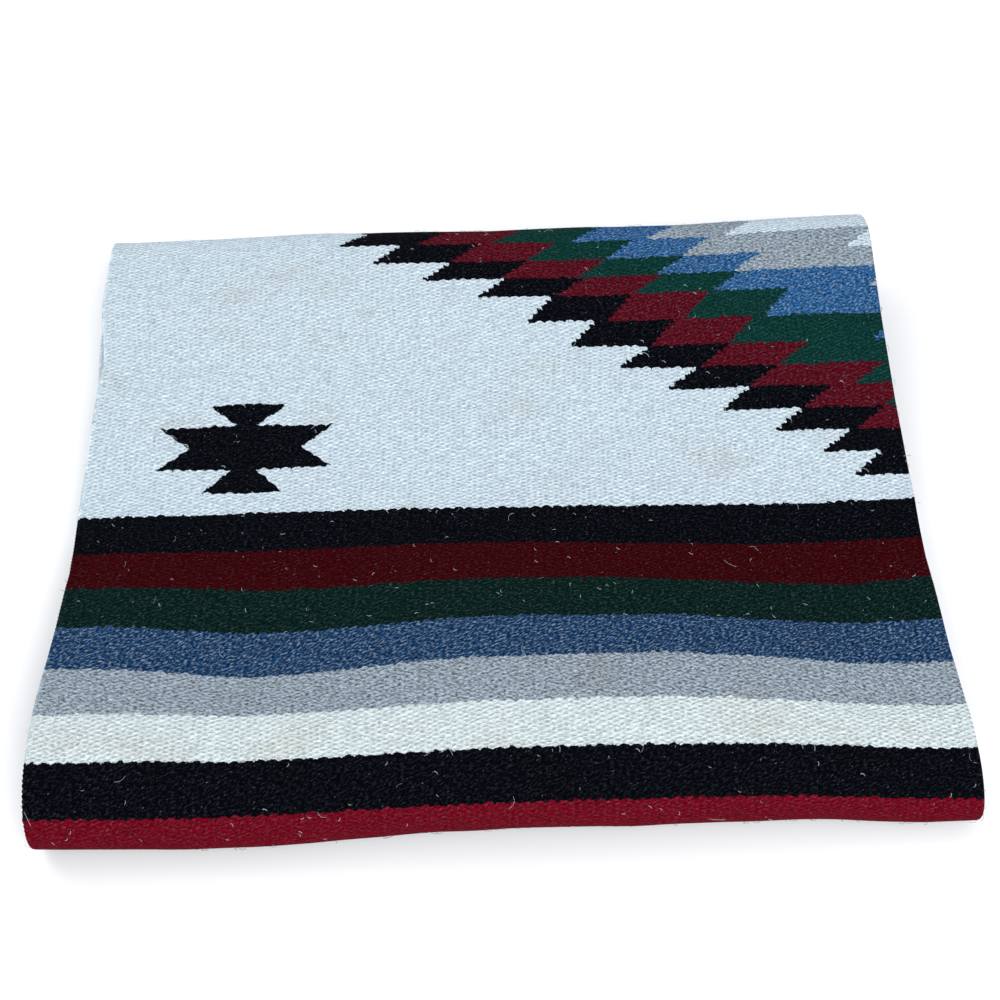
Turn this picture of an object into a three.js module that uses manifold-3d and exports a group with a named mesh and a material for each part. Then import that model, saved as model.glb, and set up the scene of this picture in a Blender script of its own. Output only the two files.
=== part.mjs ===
// A hand-woven wool serape, folded three times into a flat packet that lies on a surface.
//
// The web is 1.20 m wide and about 2.0 m long. It is folded along its centre line (the right
// edge of the packet), across its middle (the back edge), and its striped end is turned under
// (the front roll). That makes eight layers:
//   face_web       the outer web: back fold, top, front roll and the run along the ground
//   folded_layers  the six layers between them, one rounded solid, layered at its edges
//
// Millimetres, +Z up. X runs along the weft from the selvedge to the centre-line fold, and
// Y runs along the warp from the front roll to the back fold.

import * as THREE from 'three';
import Module from 'manifold-3d';

// ---- driving dimensions -------------------------------------------------------------------

const HALF_WIDTH = 300; // half of the packet, a quarter of the whole web's width
const CLOTH = 3; // thickness of the woven web
const SEAM_GAP = 0.3; // between pieces that meet where it shows
const HIDDEN_GAP = 1.2; // between the outer web and the layers inside it
const STRIPE = 34; // one woven stripe, measured along the warp
const NOSE_RADIUS = 26.5; // outer radius of the front roll
const BACK_RADIUS = 10; // outer radius of the lower half of the back fold
const LIP_LENGTH = 25; // what the outer web runs on under the back fold
const FOLD_RADIUS = CLOTH; // the web doubled along its centre line, at the right edge
const FOLD_OVERLAP = 18; // how far that doubling reaches in from the right edge
const GROUND_RUN = 443; // the flap that lies on the surface, to its free end
const BACK_TILT = -90; // travel straight up: the warp's middle, at the back fold
const NOSE_START_TILT = 52;

const toRadians = THREE.MathUtils.degToRad;
const arcLength = (radius, degrees) => radius * toRadians(degrees);

// The web's outer face in side view, as stretches along the warp from under the back fold to
// the free end on the ground. Tilt is the fall of the cloth at the stretch's far end: 0 is
// level and towards the front, 90 straight down, 180 level and towards the back.
const STRETCHES = [
  { name: 'lip', length: LIP_LENGTH, tilt: -180, steps: 1 },
  { name: 'back fold, lower', length: arcLength(BACK_RADIUS, 90), tilt: BACK_TILT, steps: 4 },
  { name: 'back fold, upper', length: 16, tilt: -28, steps: 3 },
  { name: 'back crest', length: 24, tilt: 2, steps: 3 },
  { name: 'field, falling', length: 60, tilt: 11, steps: 3 },
  { name: 'field, sinking', length: 80, tilt: 8.5, steps: 4 },
  { name: 'field, valley', length: 60, tilt: 3, steps: 3 },
  { name: 'field, turning up', length: 34, tilt: -6, steps: 2 },
  { name: 'black stripe', length: STRIPE, tilt: -10.5, steps: 2 },
  { name: 'red stripe', length: STRIPE, tilt: -12, steps: 2 },
  { name: 'green stripe', length: STRIPE, tilt: -10, steps: 2 },
  { name: 'blue stripe', length: STRIPE, tilt: -7, steps: 2 },
  { name: 'grey stripe', length: STRIPE, tilt: -2, steps: 2 },
  { name: 'white stripe', length: STRIPE, tilt: 4, steps: 2 },
  { name: 'front black stripe', length: 36, tilt: NOSE_START_TILT, steps: 4 },
  { name: 'front roll', length: arcLength(NOSE_RADIUS, 180 - NOSE_START_TILT), tilt: 180, steps: 8 },
  { name: 'ground run', length: GROUND_RUN, tilt: 180, steps: 5 },
];
const LIP_START_TILT = -180;
const WALK_STEPS = 8; // fine steps taken inside one step of a stretch

// Broad swells and dips of the top, from how the packet was folded and patted down.
// `along` is measured from the back fold.
const SWELLS = [
  { name: 'right front settles', across: 306, along: 425, acrossSpread: 102, alongSpread: 78, rise: -22 },
  { name: 'dip beside the valley', across: 192, along: 328, acrossSpread: 120, alongSpread: 72, rise: -12 },
  { name: 'left front trough', across: -168, along: 405, acrossSpread: 81, alongSpread: 52, rise: -12 },
  { name: 'back right corner', across: 300, along: 25, acrossSpread: 102, alongSpread: 60, rise: 9 },
  { name: 'back left corner', across: -285, along: 20, acrossSpread: 105, alongSpread: 60, rise: -6 },
  { name: 'middle of the crest', across: 6, along: 440, acrossSpread: 90, alongSpread: 50, rise: 2.5 },
];

// The front roll bulges towards the front in two places.
const BULGES = [
  { name: 'left half', across: -198, along: 552, acrossSpread: 120, alongSpread: 34, forward: 7 },
  { name: 'right corner', across: 288, along: 552, acrossSpread: 60, alongSpread: 34, forward: 3 },
];

// How far each side edge is drawn in along the warp.
const OUTLINE = [
  { along: 0, left: 0, right: 0 },
  { along: 90, left: 0, right: 0 },
  { along: 135, left: 5, right: 0 },
  { along: 175, left: 2, right: 0 },
  { along: 270, left: 0, right: 0 },
  { along: 325, left: 3, right: 3 },
  { along: 380, left: 1, right: 2 },
  { along: 450, left: -2, right: 1 },
  { along: 560, left: -1, right: 1 },
  { along: 640, left: 0, right: 0 },
];

// The six hidden layers from the top down. `from` and `to` are parts of the height of their
// half of the stack, `left` draws the selvedge in, `back` is the distance of the free end or
// fold from the back of the packet, and `right` says how the right edge is rounded: two
// layers that are one fold share one round.
const LIP_END = BACK_RADIUS + LIP_LENGTH + SEAM_GAP;
const INSIDE_FOLD = FOLD_OVERLAP + HIDDEN_GAP;
const LAYERS = [
  { half: 'upper', from: 0, to: 1 / 3, left: 2, inset: INSIDE_FOLD, right: 'whole', back: 10 },
  { half: 'upper', from: 1 / 3, to: 2 / 3, left: 5, inset: 2, right: 'top', back: 13 },
  { half: 'upper', from: 2 / 3, to: 1, left: 1, inset: 2, right: 'bottom', back: LIP_END },
  { half: 'lower', from: 0, to: 1 / 3, left: 4, inset: 3, right: 'top', back: 16 },
  { half: 'lower', from: 1 / 3, to: 2 / 3, left: -3, inset: 3, right: 'bottom', back: 24 },
  { half: 'lower', from: 2 / 3, to: 1, left: 3, inset: INSIDE_FOLD, right: 'whole', back: 13 },
];
const LAYER_BOND = 0.8; // overlap that joins a layer to the next one towards the middle
const LAYER_PACE = 27; // step between two rings of a layer
const LAYER_MARGIN = 30; // from a side edge to the first column that all the layers share
const FRONT_CLEARANCE = 4; // from a layer's front end to the inside of the front roll
const EDGE_WANDER = 1.6; // how far a layer's selvedge wanders
const EDGE_WANDER_LENGTH = 260;

const COLUMNS = 16; // columns across the web
const LAYER_COLUMNS = 13;
const ROUND_STEPS = 3;
const FOLD_ROUND_STEPS = 5;

// ---- small helpers ------------------------------------------------------------------------

function interpolate(rows, key, place, column) {
  const last = rows.length - 1;
  if (place <= rows[0][key]) return rows[0][column];
  if (place >= rows[last][key]) return rows[last][column];
  const next = rows.findIndex((row) => row[key] >= place);
  const before = rows[next - 1];
  const share = (place - before[key]) / (rows[next][key] - before[key]);
  return THREE.MathUtils.lerp(before[column], rows[next][column], share);
}

function sumOfBumps(table, across, along, column) {
  return table.reduce((sum, bump) => {
    const sideways = (across - bump.across) / bump.acrossSpread;
    const lengthways = (along - bump.along) / bump.alongSpread;
    return sum + bump[column] * Math.exp(-sideways * sideways - lengthways * lengthways);
  }, 0);
}

// ---- the web's side view ------------------------------------------------------------------

// Walks the stretches and gives a station at the end of each step. The ground run lies at
// z = 0, and the back fold's outermost point at y = 0.
function walkStretches() {
  let tilt = LIP_START_TILT;
  let along = -(STRETCHES[0].length + STRETCHES[1].length);
  let y = 0;
  let z = 0;
  const stations = [{ along, y, z, tilt, name: 'lip' }];
  for (const stretch of STRETCHES) {
    const startTilt = tilt;
    const count = stretch.steps * WALK_STEPS;
    const pace = stretch.length / count;
    for (let step = 0; step < count; step += 1) {
      const middle = startTilt + (stretch.tilt - startTilt) * ((step + 0.5) / count);
      y -= Math.cos(toRadians(middle)) * pace;
      z -= Math.sin(toRadians(middle)) * pace;
      along += pace;
      tilt = startTilt + (stretch.tilt - startTilt) * ((step + 1) / count);
      if ((step + 1) % WALK_STEPS === 0) stations.push({ along, y, z, tilt, name: stretch.name });
    }
  }
  const ground = stations[stations.length - 1].z;
  const back = Math.max(...stations.map((station) => station.y));
  return stations.map((station) => ({ ...station, y: station.y - back, z: station.z - ground }));
}

const STATIONS = walkStretches();
const crestOf = (chosen) => chosen.reduce((best, station) => (station.z > best.z ? station : best));
const VALLEY = STATIONS.find((station) => station.name === 'field, turning up');
const BACK_CREST = crestOf(STATIONS.filter((station) => station.along < VALLEY.along));
const FRONT_CREST = crestOf(STATIONS.filter((station) => station.along > VALLEY.along));

// Swells act in full on the top and fade down the folds to nothing on the ground.
function swellShare(station) {
  if (station.along < BACK_CREST.along) return station.z / BACK_CREST.z;
  if (station.along > FRONT_CREST.along) return station.z / FRONT_CREST.z;
  return 1;
}

// A point of the web at an x, a station along it, and a depth below its outer face. A fold
// rises and falls with the crest above it.
function webPoint(x, station, depth) {
  const crestPlace = THREE.MathUtils.clamp(station.along, BACK_CREST.along, FRONT_CREST.along);
  const rise = swellShare(station) * sumOfBumps(SWELLS, x, crestPlace, 'rise');
  const onGround = station.name === 'ground run';
  const forward = onGround ? 0 : sumOfBumps(BULGES, x, station.along, 'forward');
  const outY = -Math.sin(toRadians(station.tilt));
  const outZ = Math.cos(toRadians(station.tilt));
  const point = new THREE.Vector3(x, station.y - forward, station.z + rise);
  return point.sub(new THREE.Vector3(0, outY * depth, outZ * depth));
}

function edgesAt(along) {
  return {
    left: -HALF_WIDTH + interpolate(OUTLINE, 'along', along, 'left'),
    right: HALF_WIDTH - interpolate(OUTLINE, 'along', along, 'right'),
  };
}

// ---- skinning -----------------------------------------------------------------------------

// Closes a body over rings of equal length. Each end lies across Y and faces +Y or -Y.
function skinRings(rings, firstFacesBack, lastFacesBack) {
  const size = rings[0].length;
  const faces = [];
  for (let ring = 0; ring + 1 < rings.length; ring += 1) {
    for (let side = 0; side < size; side += 1) {
      const next = (side + 1) % size;
      const near = ring * size;
      const far = near + size;
      faces.push(near + side, far + side, far + next);
      faces.push(near + side, far + next, near + next);
    }
  }
  const addCap = (ring, base, facesBack) => {
    const contour = ring.map((point) => new THREE.Vector2(point.x, point.z));
    for (const [a, b, c] of THREE.ShapeUtils.triangulateShape(contour, [])) {
      if (facesBack) faces.push(base + a, base + c, base + b);
      else faces.push(base + a, base + b, base + c);
    }
  };
  addCap(rings[0], 0, firstFacesBack);
  addCap(rings[rings.length - 1], (rings.length - 1) * size, lastFacesBack);
  const geometry = new THREE.BufferGeometry();
  const corners = rings.flat().flatMap((point) => point.toArray());
  geometry.setAttribute('position', new THREE.Float32BufferAttribute(corners, 3));
  geometry.setIndex(faces);
  return geometry;
}

// ---- the outer web ------------------------------------------------------------------------

// One ring across the web: the outer face, the doubled fold at the right, the inner face and
// the rounded selvedge at the left. Each entry is an x and a depth below the outer face.
function webRing(station) {
  const { left, right } = edgesAt(station.along);
  const selvedge = CLOTH / 2;
  const start = left + selvedge;
  const foldCentre = right - FOLD_RADIUS;
  const lipStart = right - FOLD_OVERLAP;
  const ring = [];
  for (let column = 0; column <= COLUMNS; column += 1) {
    ring.push([THREE.MathUtils.lerp(start, lipStart, column / COLUMNS), 0]);
  }
  for (let step = 0; step <= FOLD_ROUND_STEPS; step += 1) {
    const turn = (Math.PI * step) / FOLD_ROUND_STEPS;
    ring.push([foldCentre + FOLD_RADIUS * Math.sin(turn), FOLD_RADIUS * (1 - Math.cos(turn))]);
  }
  ring.push([lipStart, 2 * FOLD_RADIUS]);
  for (let column = COLUMNS; column >= 0; column -= 1) {
    ring.push([THREE.MathUtils.lerp(start, lipStart, column / COLUMNS), CLOTH]);
  }
  for (let step = 1; step < ROUND_STEPS; step += 1) {
    const turn = (Math.PI * step) / ROUND_STEPS;
    ring.push([start - selvedge * Math.sin(turn), selvedge * (1 + Math.cos(turn))]);
  }
  return ring.map(([x, depth]) => webPoint(x, station, depth));
}

const faceWeb = skinRings(STATIONS.map(webRing), false, true);

// ---- the hidden layers --------------------------------------------------------------------

const LAYER_DEPTH = CLOTH + HIDDEN_GAP;
const ROOF_STATIONS = STATIONS.filter((station) => Math.abs(station.tilt) <= 90);
const ROLL_STATIONS = STATIONS.filter((station) => station.name === 'front roll' && station.tilt >= 90);
const FRONT_END = webPoint(0, ROLL_STATIONS[0], LAYER_DEPTH).y + FRONT_CLEARANCE;

// Height of a row of stations' inner side over or under a place.
function innerHeight(stations, x, y) {
  const curve = stations.map((station) => webPoint(x, station, LAYER_DEPTH));
  const rows = curve.map((point) => ({ y: point.y, z: point.z })).sort((a, b) => a.y - b.y);
  return interpolate(rows, 'y', y, 'z');
}

// Upper and lower height of one layer at a place.
function layerSpan(layer, x, y) {
  const roof = innerHeight(ROOF_STATIONS, x, y);
  const crestRoof = innerHeight(ROOF_STATIONS, x, Math.min(y, BACK_CREST.y));
  const floor = innerHeight(ROLL_STATIONS, x, y);
  const middle = (crestRoof + floor) / 2;
  if (layer.half === 'upper') {
    const bond = layer.to < 1 ? LAYER_BOND : 0;
    return {
      high: THREE.MathUtils.lerp(roof, middle, layer.from),
      low: THREE.MathUtils.lerp(roof, middle, layer.to) - bond,
    };
  }
  return {
    high: THREE.MathUtils.lerp(middle, floor, layer.from) + LAYER_BOND,
    low: THREE.MathUtils.lerp(middle, floor, layer.to),
  };
}

// How a layer's edge is rounded, from its upper to its lower corner: the reach inwards from
// the edge in rounding radii, and the height as a part of the layer's height.
function edgeRound(kind) {
  const steps = Array.from({ length: ROUND_STEPS + 1 }, (unused, step) => step / ROUND_STEPS);
  const rounds = {
    whole: (share) => [1 - Math.sin(Math.PI * share), (1 + Math.cos(Math.PI * share)) / 2],
    top: (share) => [1 - Math.sin((Math.PI / 2) * share), Math.cos((Math.PI / 2) * share)],
    bottom: (share) => [1 - Math.cos((Math.PI / 2) * share), 1 - Math.sin((Math.PI / 2) * share)],
  };
  const atRow = 0.999;
  return steps.map(rounds[kind]).filter(([inwards]) => inwards < atRow);
}

// Columns and places that all the layers share, so that their facets lie on each other.
const SHARED_COLUMNS = Array.from({ length: LAYER_COLUMNS + 1 }, (unused, index) => (
  (HALF_WIDTH - LAYER_MARGIN) * ((2 * index) / LAYER_COLUMNS - 1)
));

const BACK_ENDS = [...new Set(LAYERS.map((layer) => -layer.back))];
const REGULAR_PLACES = Array.from({ length: Math.floor(-FRONT_END / LAYER_PACE) }, (unused, index) => (
  FRONT_END + LAYER_PACE * index
)).filter((y) => y < Math.min(...BACK_ENDS) - LAYER_PACE / 4);
const SHARED_PLACES = [...BACK_ENDS, ...REGULAR_PLACES].sort((a, b) => b - a);

function layerRing(layer, y, along) {
  const edges = edgesAt(along);
  const wander = Math.sin((2 * Math.PI * along) / EDGE_WANDER_LENGTH + layer.back);
  const left = edges.left + layer.left + EDGE_WANDER * wander;
  const right = edges.right - layer.inset;
  const thickness = (x) => layerSpan(layer, x, y).high - layerSpan(layer, x, y).low;
  const leftRadius = thickness(left) / 2;
  const rightRadius = layer.right === 'whole' ? thickness(right) / 2 : thickness(right);
  const place = (x, height) => {
    const { high, low } = layerSpan(layer, x, y);
    return new THREE.Vector3(x, y, THREE.MathUtils.lerp(low, high, height));
  };
  const across = [left + leftRadius, ...SHARED_COLUMNS, right - rightRadius];
  const upper = across.map((x) => place(x, 1));
  const lower = across.map((x) => place(x, 0)).reverse();
  const rightEnd = edgeRound(layer.right).map(([inwards, height]) => place(right - rightRadius * inwards, height));
  const leftEnd = edgeRound('whole').map(([inwards, height]) => place(left + leftRadius * inwards, height));
  return [...upper, ...rightEnd, ...lower, ...leftEnd.reverse()];
}

function layerGeometry(layer) {
  const places = SHARED_PLACES.filter((y) => y <= -layer.back);
  return skinRings(places.map((y) => layerRing(layer, y, -y)), true, false);
}

// ---- joining and placing ------------------------------------------------------------------

const wasm = await Module();
wasm.setup();

function toManifold(geometry) {
  const vertProperties = new Float32Array(geometry.getAttribute('position').array);
  const triVerts = new Uint32Array(geometry.getIndex().array);
  return new wasm.Manifold(new wasm.Mesh({ numProp: 3, vertProperties, triVerts }));
}

function fromManifold(solid) {
  const mesh = solid.getMesh();
  const geometry = new THREE.BufferGeometry();
  geometry.setAttribute('position', new THREE.BufferAttribute(mesh.vertProperties, 3));
  geometry.setIndex(new THREE.BufferAttribute(mesh.triVerts, 1));
  return geometry;
}

// The joined stack is one body. Slivers of air that its facets close off inside are dropped.
const layerSolids = LAYERS.map((layer) => toManifold(layerGeometry(layer)));
const stack = layerSolids.reduce((joined, solid) => joined.add(solid));
const foldedLayers = fromManifold(stack.decompose().find((body) => body.volume() > 0));

const PIECES = [
  { name: 'face_web', geometry: faceWeb, colour: 0xd2dce4, roughness: 0.95 },
  { name: 'folded_layers', geometry: foldedLayers, colour: 0x7d2233, roughness: 0.95 },
];

const serape = new THREE.Group();
serape.name = 'serape';
for (const piece of PIECES) {
  const material = new THREE.MeshStandardMaterial({
    color: piece.colour,
    roughness: piece.roughness,
    metalness: 0,
  });
  const mesh = new THREE.Mesh(piece.geometry, material);
  mesh.name = piece.name;
  serape.add(mesh);
}

// The origin is under the middle of the packet, on the surface.
const middle = new THREE.Box3().setFromObject(serape).getCenter(new THREE.Vector3());
for (const mesh of serape.children) mesh.position.set(-middle.x, -middle.y, 0);

export default serape;
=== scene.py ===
"""A hand-woven wool serape, folded three times into a packet and laid on a pale floor."""

import enum
import logging
import math
from dataclasses import dataclass, field

import bpy
import numpy as np
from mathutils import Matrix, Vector

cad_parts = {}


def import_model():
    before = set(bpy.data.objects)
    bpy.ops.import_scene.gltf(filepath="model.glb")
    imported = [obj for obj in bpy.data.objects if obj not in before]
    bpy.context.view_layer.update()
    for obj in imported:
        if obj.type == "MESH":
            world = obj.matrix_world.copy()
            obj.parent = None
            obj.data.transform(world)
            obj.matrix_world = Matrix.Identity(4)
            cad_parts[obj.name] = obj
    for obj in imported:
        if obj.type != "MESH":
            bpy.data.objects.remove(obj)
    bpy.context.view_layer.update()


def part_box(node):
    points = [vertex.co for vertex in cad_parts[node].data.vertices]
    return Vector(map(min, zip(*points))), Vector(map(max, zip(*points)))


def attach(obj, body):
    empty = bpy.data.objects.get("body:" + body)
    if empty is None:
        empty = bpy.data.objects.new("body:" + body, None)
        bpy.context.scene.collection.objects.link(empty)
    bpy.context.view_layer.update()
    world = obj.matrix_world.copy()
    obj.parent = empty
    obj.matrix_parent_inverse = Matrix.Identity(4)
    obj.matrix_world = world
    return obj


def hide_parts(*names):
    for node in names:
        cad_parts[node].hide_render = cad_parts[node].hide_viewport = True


LOG = logging.getLogger("serape")
MM = 0.001
BODY = "root"
CLOTH_UV = "cloth"

Array = np.ndarray


# ---- the folded form ----------------------------------------------------------------------


@dataclass(frozen=True)
class Stretch:
    """A stretch of the web in side view: its length and the fall of the cloth at its far end."""

    name: str
    length: float
    tilt: float


@dataclass(frozen=True)
class Bump:
    """A broad swell, dip or bulge: where it is, how far it spreads and how high it is, in mm."""

    across: float
    along: float
    across_spread: float
    along_spread: float
    height: float


@dataclass(frozen=True)
class Crease:
    """A soft trough or ridge between two places, as (across, along) in mm."""

    start: tuple[float, float]
    end: tuple[float, float]
    width: float
    height: float

    def at(self, across: Array, along: Array) -> Array:
        """Its height at each place, in mm."""
        run, rise = self.end[0] - self.start[0], self.end[1] - self.start[1]
        share = ((across - self.start[0]) * run + (along - self.start[1]) * rise) / (run**2 + rise**2)
        nearest = np.clip(share, 0.0, 1.0)
        bow = 0.12 * math.hypot(run, rise) * nearest * (1 - nearest)
        gap = np.hypot(
            across - self.start[0] - nearest * run, along + bow - self.start[1] - nearest * rise
        )
        fade = 0.45 + 0.55 * np.sin(math.pi * nearest)
        return self.height * fade * np.exp(-((gap / self.width) ** 2))


def arc_length(radius: float, degrees: float) -> float:
    """Length of an arc."""
    return radius * math.radians(degrees)


@dataclass(frozen=True)
class PacketForm:
    """The outer face of the folded packet, in millimetres, in the CAD part's own profile frame.

    `along` runs with the warp from the back fold over the top, round the front roll and back
    along the ground. `depth` is measured inwards from the outer face.
    """

    half_width: float = 300.0
    cloth: float = 3.0
    stripe: float = 34.0
    nose_radius: float = 26.5
    back_radius: float = 10.0
    lip_length: float = 25.0
    ground_run: float = 443.0
    nose_tilt: float = 52.0
    fold_overlap: float = 18.0
    swells: tuple[Bump, ...] = (
        Bump(306, 425, 102, 78, -22),
        Bump(192, 328, 120, 72, -12),
        Bump(-168, 405, 81, 52, -12),
        Bump(300, 25, 102, 60, 9),
        Bump(-285, 20, 105, 60, -6),
        Bump(6, 440, 90, 50, 2.5),
    )
    bulges: tuple[Bump, ...] = (Bump(-198, 552, 120, 34, 7), Bump(288, 552, 60, 34, 3))
    creases: tuple[Crease, ...] = (
        Crease((-260, 60), (-60, 150), 16, -1.5),
        Crease((-230, 120), (40, 235), 18, 1.2),
        Crease((60, 60), (180, 230), 20, -1.6),
        Crease((-20, 300), (150, 390), 16, 1.3),
        Crease((-290, 330), (-120, 300), 14, -1.6),
        Crease((-290, 430), (-90, 455), 15, 1.4),
        Crease((120, 470), (285, 440), 14, -1.4),
        Crease((200, 130), (298, 200), 16, -1.6),
        Crease((-120, 520), (-20, 560), 12, -1.2),
        Crease((150, 560), (240, 530), 12, -1.3),
    )
    outline: tuple[tuple[float, float, float], ...] = (
        (0, 0, 0),
        (90, 0, 0),
        (135, 5, 0),
        (175, 2, 0),
        (270, 0, 0),
        (325, 3, 3),
        (380, 1, 2),
        (450, -2, 1),
        (560, -1, 1),
        (640, 0, 0),
    )

    def stretches(self) -> tuple[Stretch, ...]:
        """The web's stretches from under the back fold to the free end on the ground."""
        stripes = zip(("black", "red", "green", "blue", "grey", "white"), (-10.5, -12, -10, -7, -2, 4))
        return (
            Stretch("lip", self.lip_length, -180),
            Stretch("back fold, lower", arc_length(self.back_radius, 90), -90),
            Stretch("back fold, upper", 16, -28),
            Stretch("back crest", 24, 2),
            Stretch("field, falling", 60, 11),
            Stretch("field, sinking", 80, 8.5),
            Stretch("field, valley", 60, 3),
            Stretch("field, turning up", 34, -6),
            *(Stretch(name, self.stripe, tilt) for name, tilt in stripes),
            Stretch("front black", 36, self.nose_tilt),
            Stretch("front roll", arc_length(self.nose_radius, 180 - self.nose_tilt), 180),
            Stretch("ground run", self.ground_run, 180),
        )

    @property
    def lip_start(self) -> float:
        """Where the web starts, under the back fold."""
        return -(self.lip_length + arc_length(self.back_radius, 90))

    @property
    def roll_end(self) -> float:
        """Where the front roll meets the ground run."""
        return self.web_end - self.ground_run

    @property
    def web_end(self) -> float:
        """Where the web ends, at the free end on the ground."""
        return self.lip_start + sum(stretch.length for stretch in self.stretches())

    def walk(self) -> dict[str, Array]:
        """Walks the stretches finely.

        Returns:
            Arrays of along, y, z and tilt, with the ground run at z = 0 and the back at y = 0.
        """
        tilt = -180.0
        rows = [(self.lip_start, 0.0, 0.0, tilt)]
        for stretch in self.stretches():
            start = tilt
            count = max(8, round(stretch.length))
            pace = stretch.length / count
            for step in range(count):
                middle = math.radians(start + (stretch.tilt - start) * (step + 0.5) / count)
                tilt = start + (stretch.tilt - start) * (step + 1) / count
                along, y, z, _ = rows[-1]
                rows.append((along + pace, y - math.cos(middle) * pace, z - math.sin(middle) * pace, tilt))
        table = np.array(rows)
        table[:, 1] -= table[:, 1].max()
        table[:, 2] -= table[-1, 2]
        return dict(zip(("along", "y", "z", "tilt"), table.T))


def bump_sum(bumps: tuple[Bump, ...], across: Array, along: Array) -> Array:
    """Adds the bumps' heights at each place."""
    total = np.zeros(np.broadcast(across, along).shape)
    for bump in bumps:
        sideways = (across - bump.across) / bump.across_spread
        lengthways = (along - bump.along) / bump.along_spread
        total += bump.height * np.exp(-sideways**2 - lengthways**2)
    return total


@dataclass
class Unevenness:
    """Smooth seeded unevenness from -1 to 1 over a plane, with hollows about one unit wide."""

    seed: int
    size: int = 64
    lattice: Array = field(init=False)

    def __post_init__(self) -> None:
        """Draws the lattice."""
        self.lattice = np.random.default_rng(self.seed).uniform(-1, 1, (self.size, self.size))

    def at(self, u: Array, v: Array) -> Array:
        """The value at each place."""
        u, v = np.broadcast_arrays(np.asarray(u, float), np.asarray(v, float))
        column, row = np.floor(u).astype(int), np.floor(v).astype(int)
        ease_u, ease_v = ((f * f * (3 - 2 * f)) for f in (u - column, v - row))
        pick = lambda a, b: self.lattice[a % self.size, b % self.size]
        near = pick(column, row) * (1 - ease_u) + pick(column + 1, row) * ease_u
        far = pick(column, row + 1) * (1 - ease_u) + pick(column + 1, row + 1) * ease_u
        return near * (1 - ease_v) + far * ease_v


@dataclass
class PacketSurface:
    """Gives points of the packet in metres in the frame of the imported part."""

    form: PacketForm
    path: dict[str, Array] = field(init=False)
    shift: Vector = field(init=False)
    back_crest: tuple[float, float] = field(init=False)
    front_crest: tuple[float, float] = field(init=False)
    uneven: "Unevenness" = field(init=False)

    def __post_init__(self) -> None:
        """Walks the profile and lines it up with the CAD node."""
        self.uneven = Unevenness(seed=11)
        self.path = self.form.walk()
        along, height = self.path["along"], self.path["z"]
        valley = self.valley_place
        self.back_crest = self._crest((along > -20) & (along < valley))
        self.front_crest = self._crest((along > valley) & (height > 0))
        low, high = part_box("face_web")
        left, right = self.edges(along)
        self.shift = Vector((high.x - float(right.max()) * MM, high.y, 0.0))

    @property
    def valley_place(self) -> float:
        """Where the field is at its lowest."""
        return 274.0

    def _crest(self, chosen: Array) -> tuple[float, float]:
        """Along and height of the highest chosen place."""
        place = np.argmax(np.where(chosen, self.path["z"], -1))
        return float(self.path["along"][place]), float(self.path["z"][place])

    def edges(self, along: Array) -> tuple[Array, Array]:
        """The x of the left and the right edge, in mm."""
        rows = np.array(self.form.outline, float)
        left = np.interp(along, rows[:, 0], rows[:, 1])
        right = np.interp(along, rows[:, 0], rows[:, 2])
        return -self.form.half_width + left, self.form.half_width - right

    def point(self, x: Array, along: Array, depth: Array) -> Array:
        """Points in mm at an x, a place along the web and a depth below its outer face."""
        y = np.interp(along, self.path["along"], self.path["y"])
        z = np.interp(along, self.path["along"], self.path["z"])
        tilt = np.radians(np.interp(along, self.path["along"], self.path["tilt"]))
        crest_place = np.clip(along, self.back_crest[0], self.front_crest[0])
        share = np.where(along < self.back_crest[0], z / self.back_crest[1], 1.0)
        share = np.where(along > self.front_crest[0], z / self.front_crest[1], share)
        rise = share * bump_sum(self.form.swells, x, crest_place)
        on_ground = along > self.form.roll_end
        forward = np.where(on_ground, 0.0, bump_sum(self.form.bulges, x, along))
        pucker = self.pucker(x, along) * np.clip(z / 20.0, 0.0, 1.0)
        out = depth - pucker
        return np.stack([x + 0 * z, y - forward + np.sin(tilt) * out, z + rise - np.cos(tilt) * out], axis=-1)

    def pucker(self, x: Array, along: Array) -> Array:
        """Small unevenness of the hand-woven cloth, in mm."""
        broad = self.uneven.at(x / 75.0, along / 42.0)
        fine = self.uneven.at(x / 26.0 + 7.0, along / 16.0 + 5.0)
        creases = sum(crease.at(x, along) for crease in self.form.creases)
        return 0.9 * broad + 0.4 * fine + creases

    def place(self, points: Array) -> Array:
        """Millimetres in the profile's frame to metres in the part's frame."""
        return points * MM + np.array(self.shift)


def mesh_from_rings(name: str, rings: Array, uvs: Array) -> bpy.types.Object:
    """Closes a body over rings of equal length and gives it the cloth's own coordinates.

    Args:
        name: The piece's name.
        rings: Points in metres, ring by ring, as (rings, size, 3).
        uvs: Distance from the selvedge and along the warp, in metres, as (rings, size, 2).

    Returns:
        The new object, with outward faces.
    """
    count, size, _ = rings.shape
    index = np.arange(count * size).reshape(count, size)
    near, far = index[:-1], index[1:]
    near_next, far_next = np.roll(near, -1, axis=1), np.roll(far, -1, axis=1)
    quads = np.stack([near, far, far_next, near_next], axis=-1).reshape(-1, 4)
    faces = [tuple(face) for face in quads.tolist()]
    faces += cap_faces(index[0], first=True) + cap_faces(index[-1], first=False)
    mesh = bpy.data.meshes.new(name)
    mesh.from_pydata(rings.reshape(-1, 3).tolist(), [], faces)
    layer = mesh.uv_layers.new(name=CLOTH_UV)
    corners = np.zeros(len(mesh.loops), int)
    mesh.loops.foreach_get("vertex_index", corners)
    layer.data.foreach_set("uv", uvs.reshape(-1, 2)[corners].astype(np.float32).ravel())
    mesh.validate()
    mesh.update()
    mesh.shade_smooth()
    piece = bpy.data.objects.new(name, mesh)
    bpy.context.scene.collection.objects.link(piece)
    recalculate_outwards(piece)
    return piece


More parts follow.
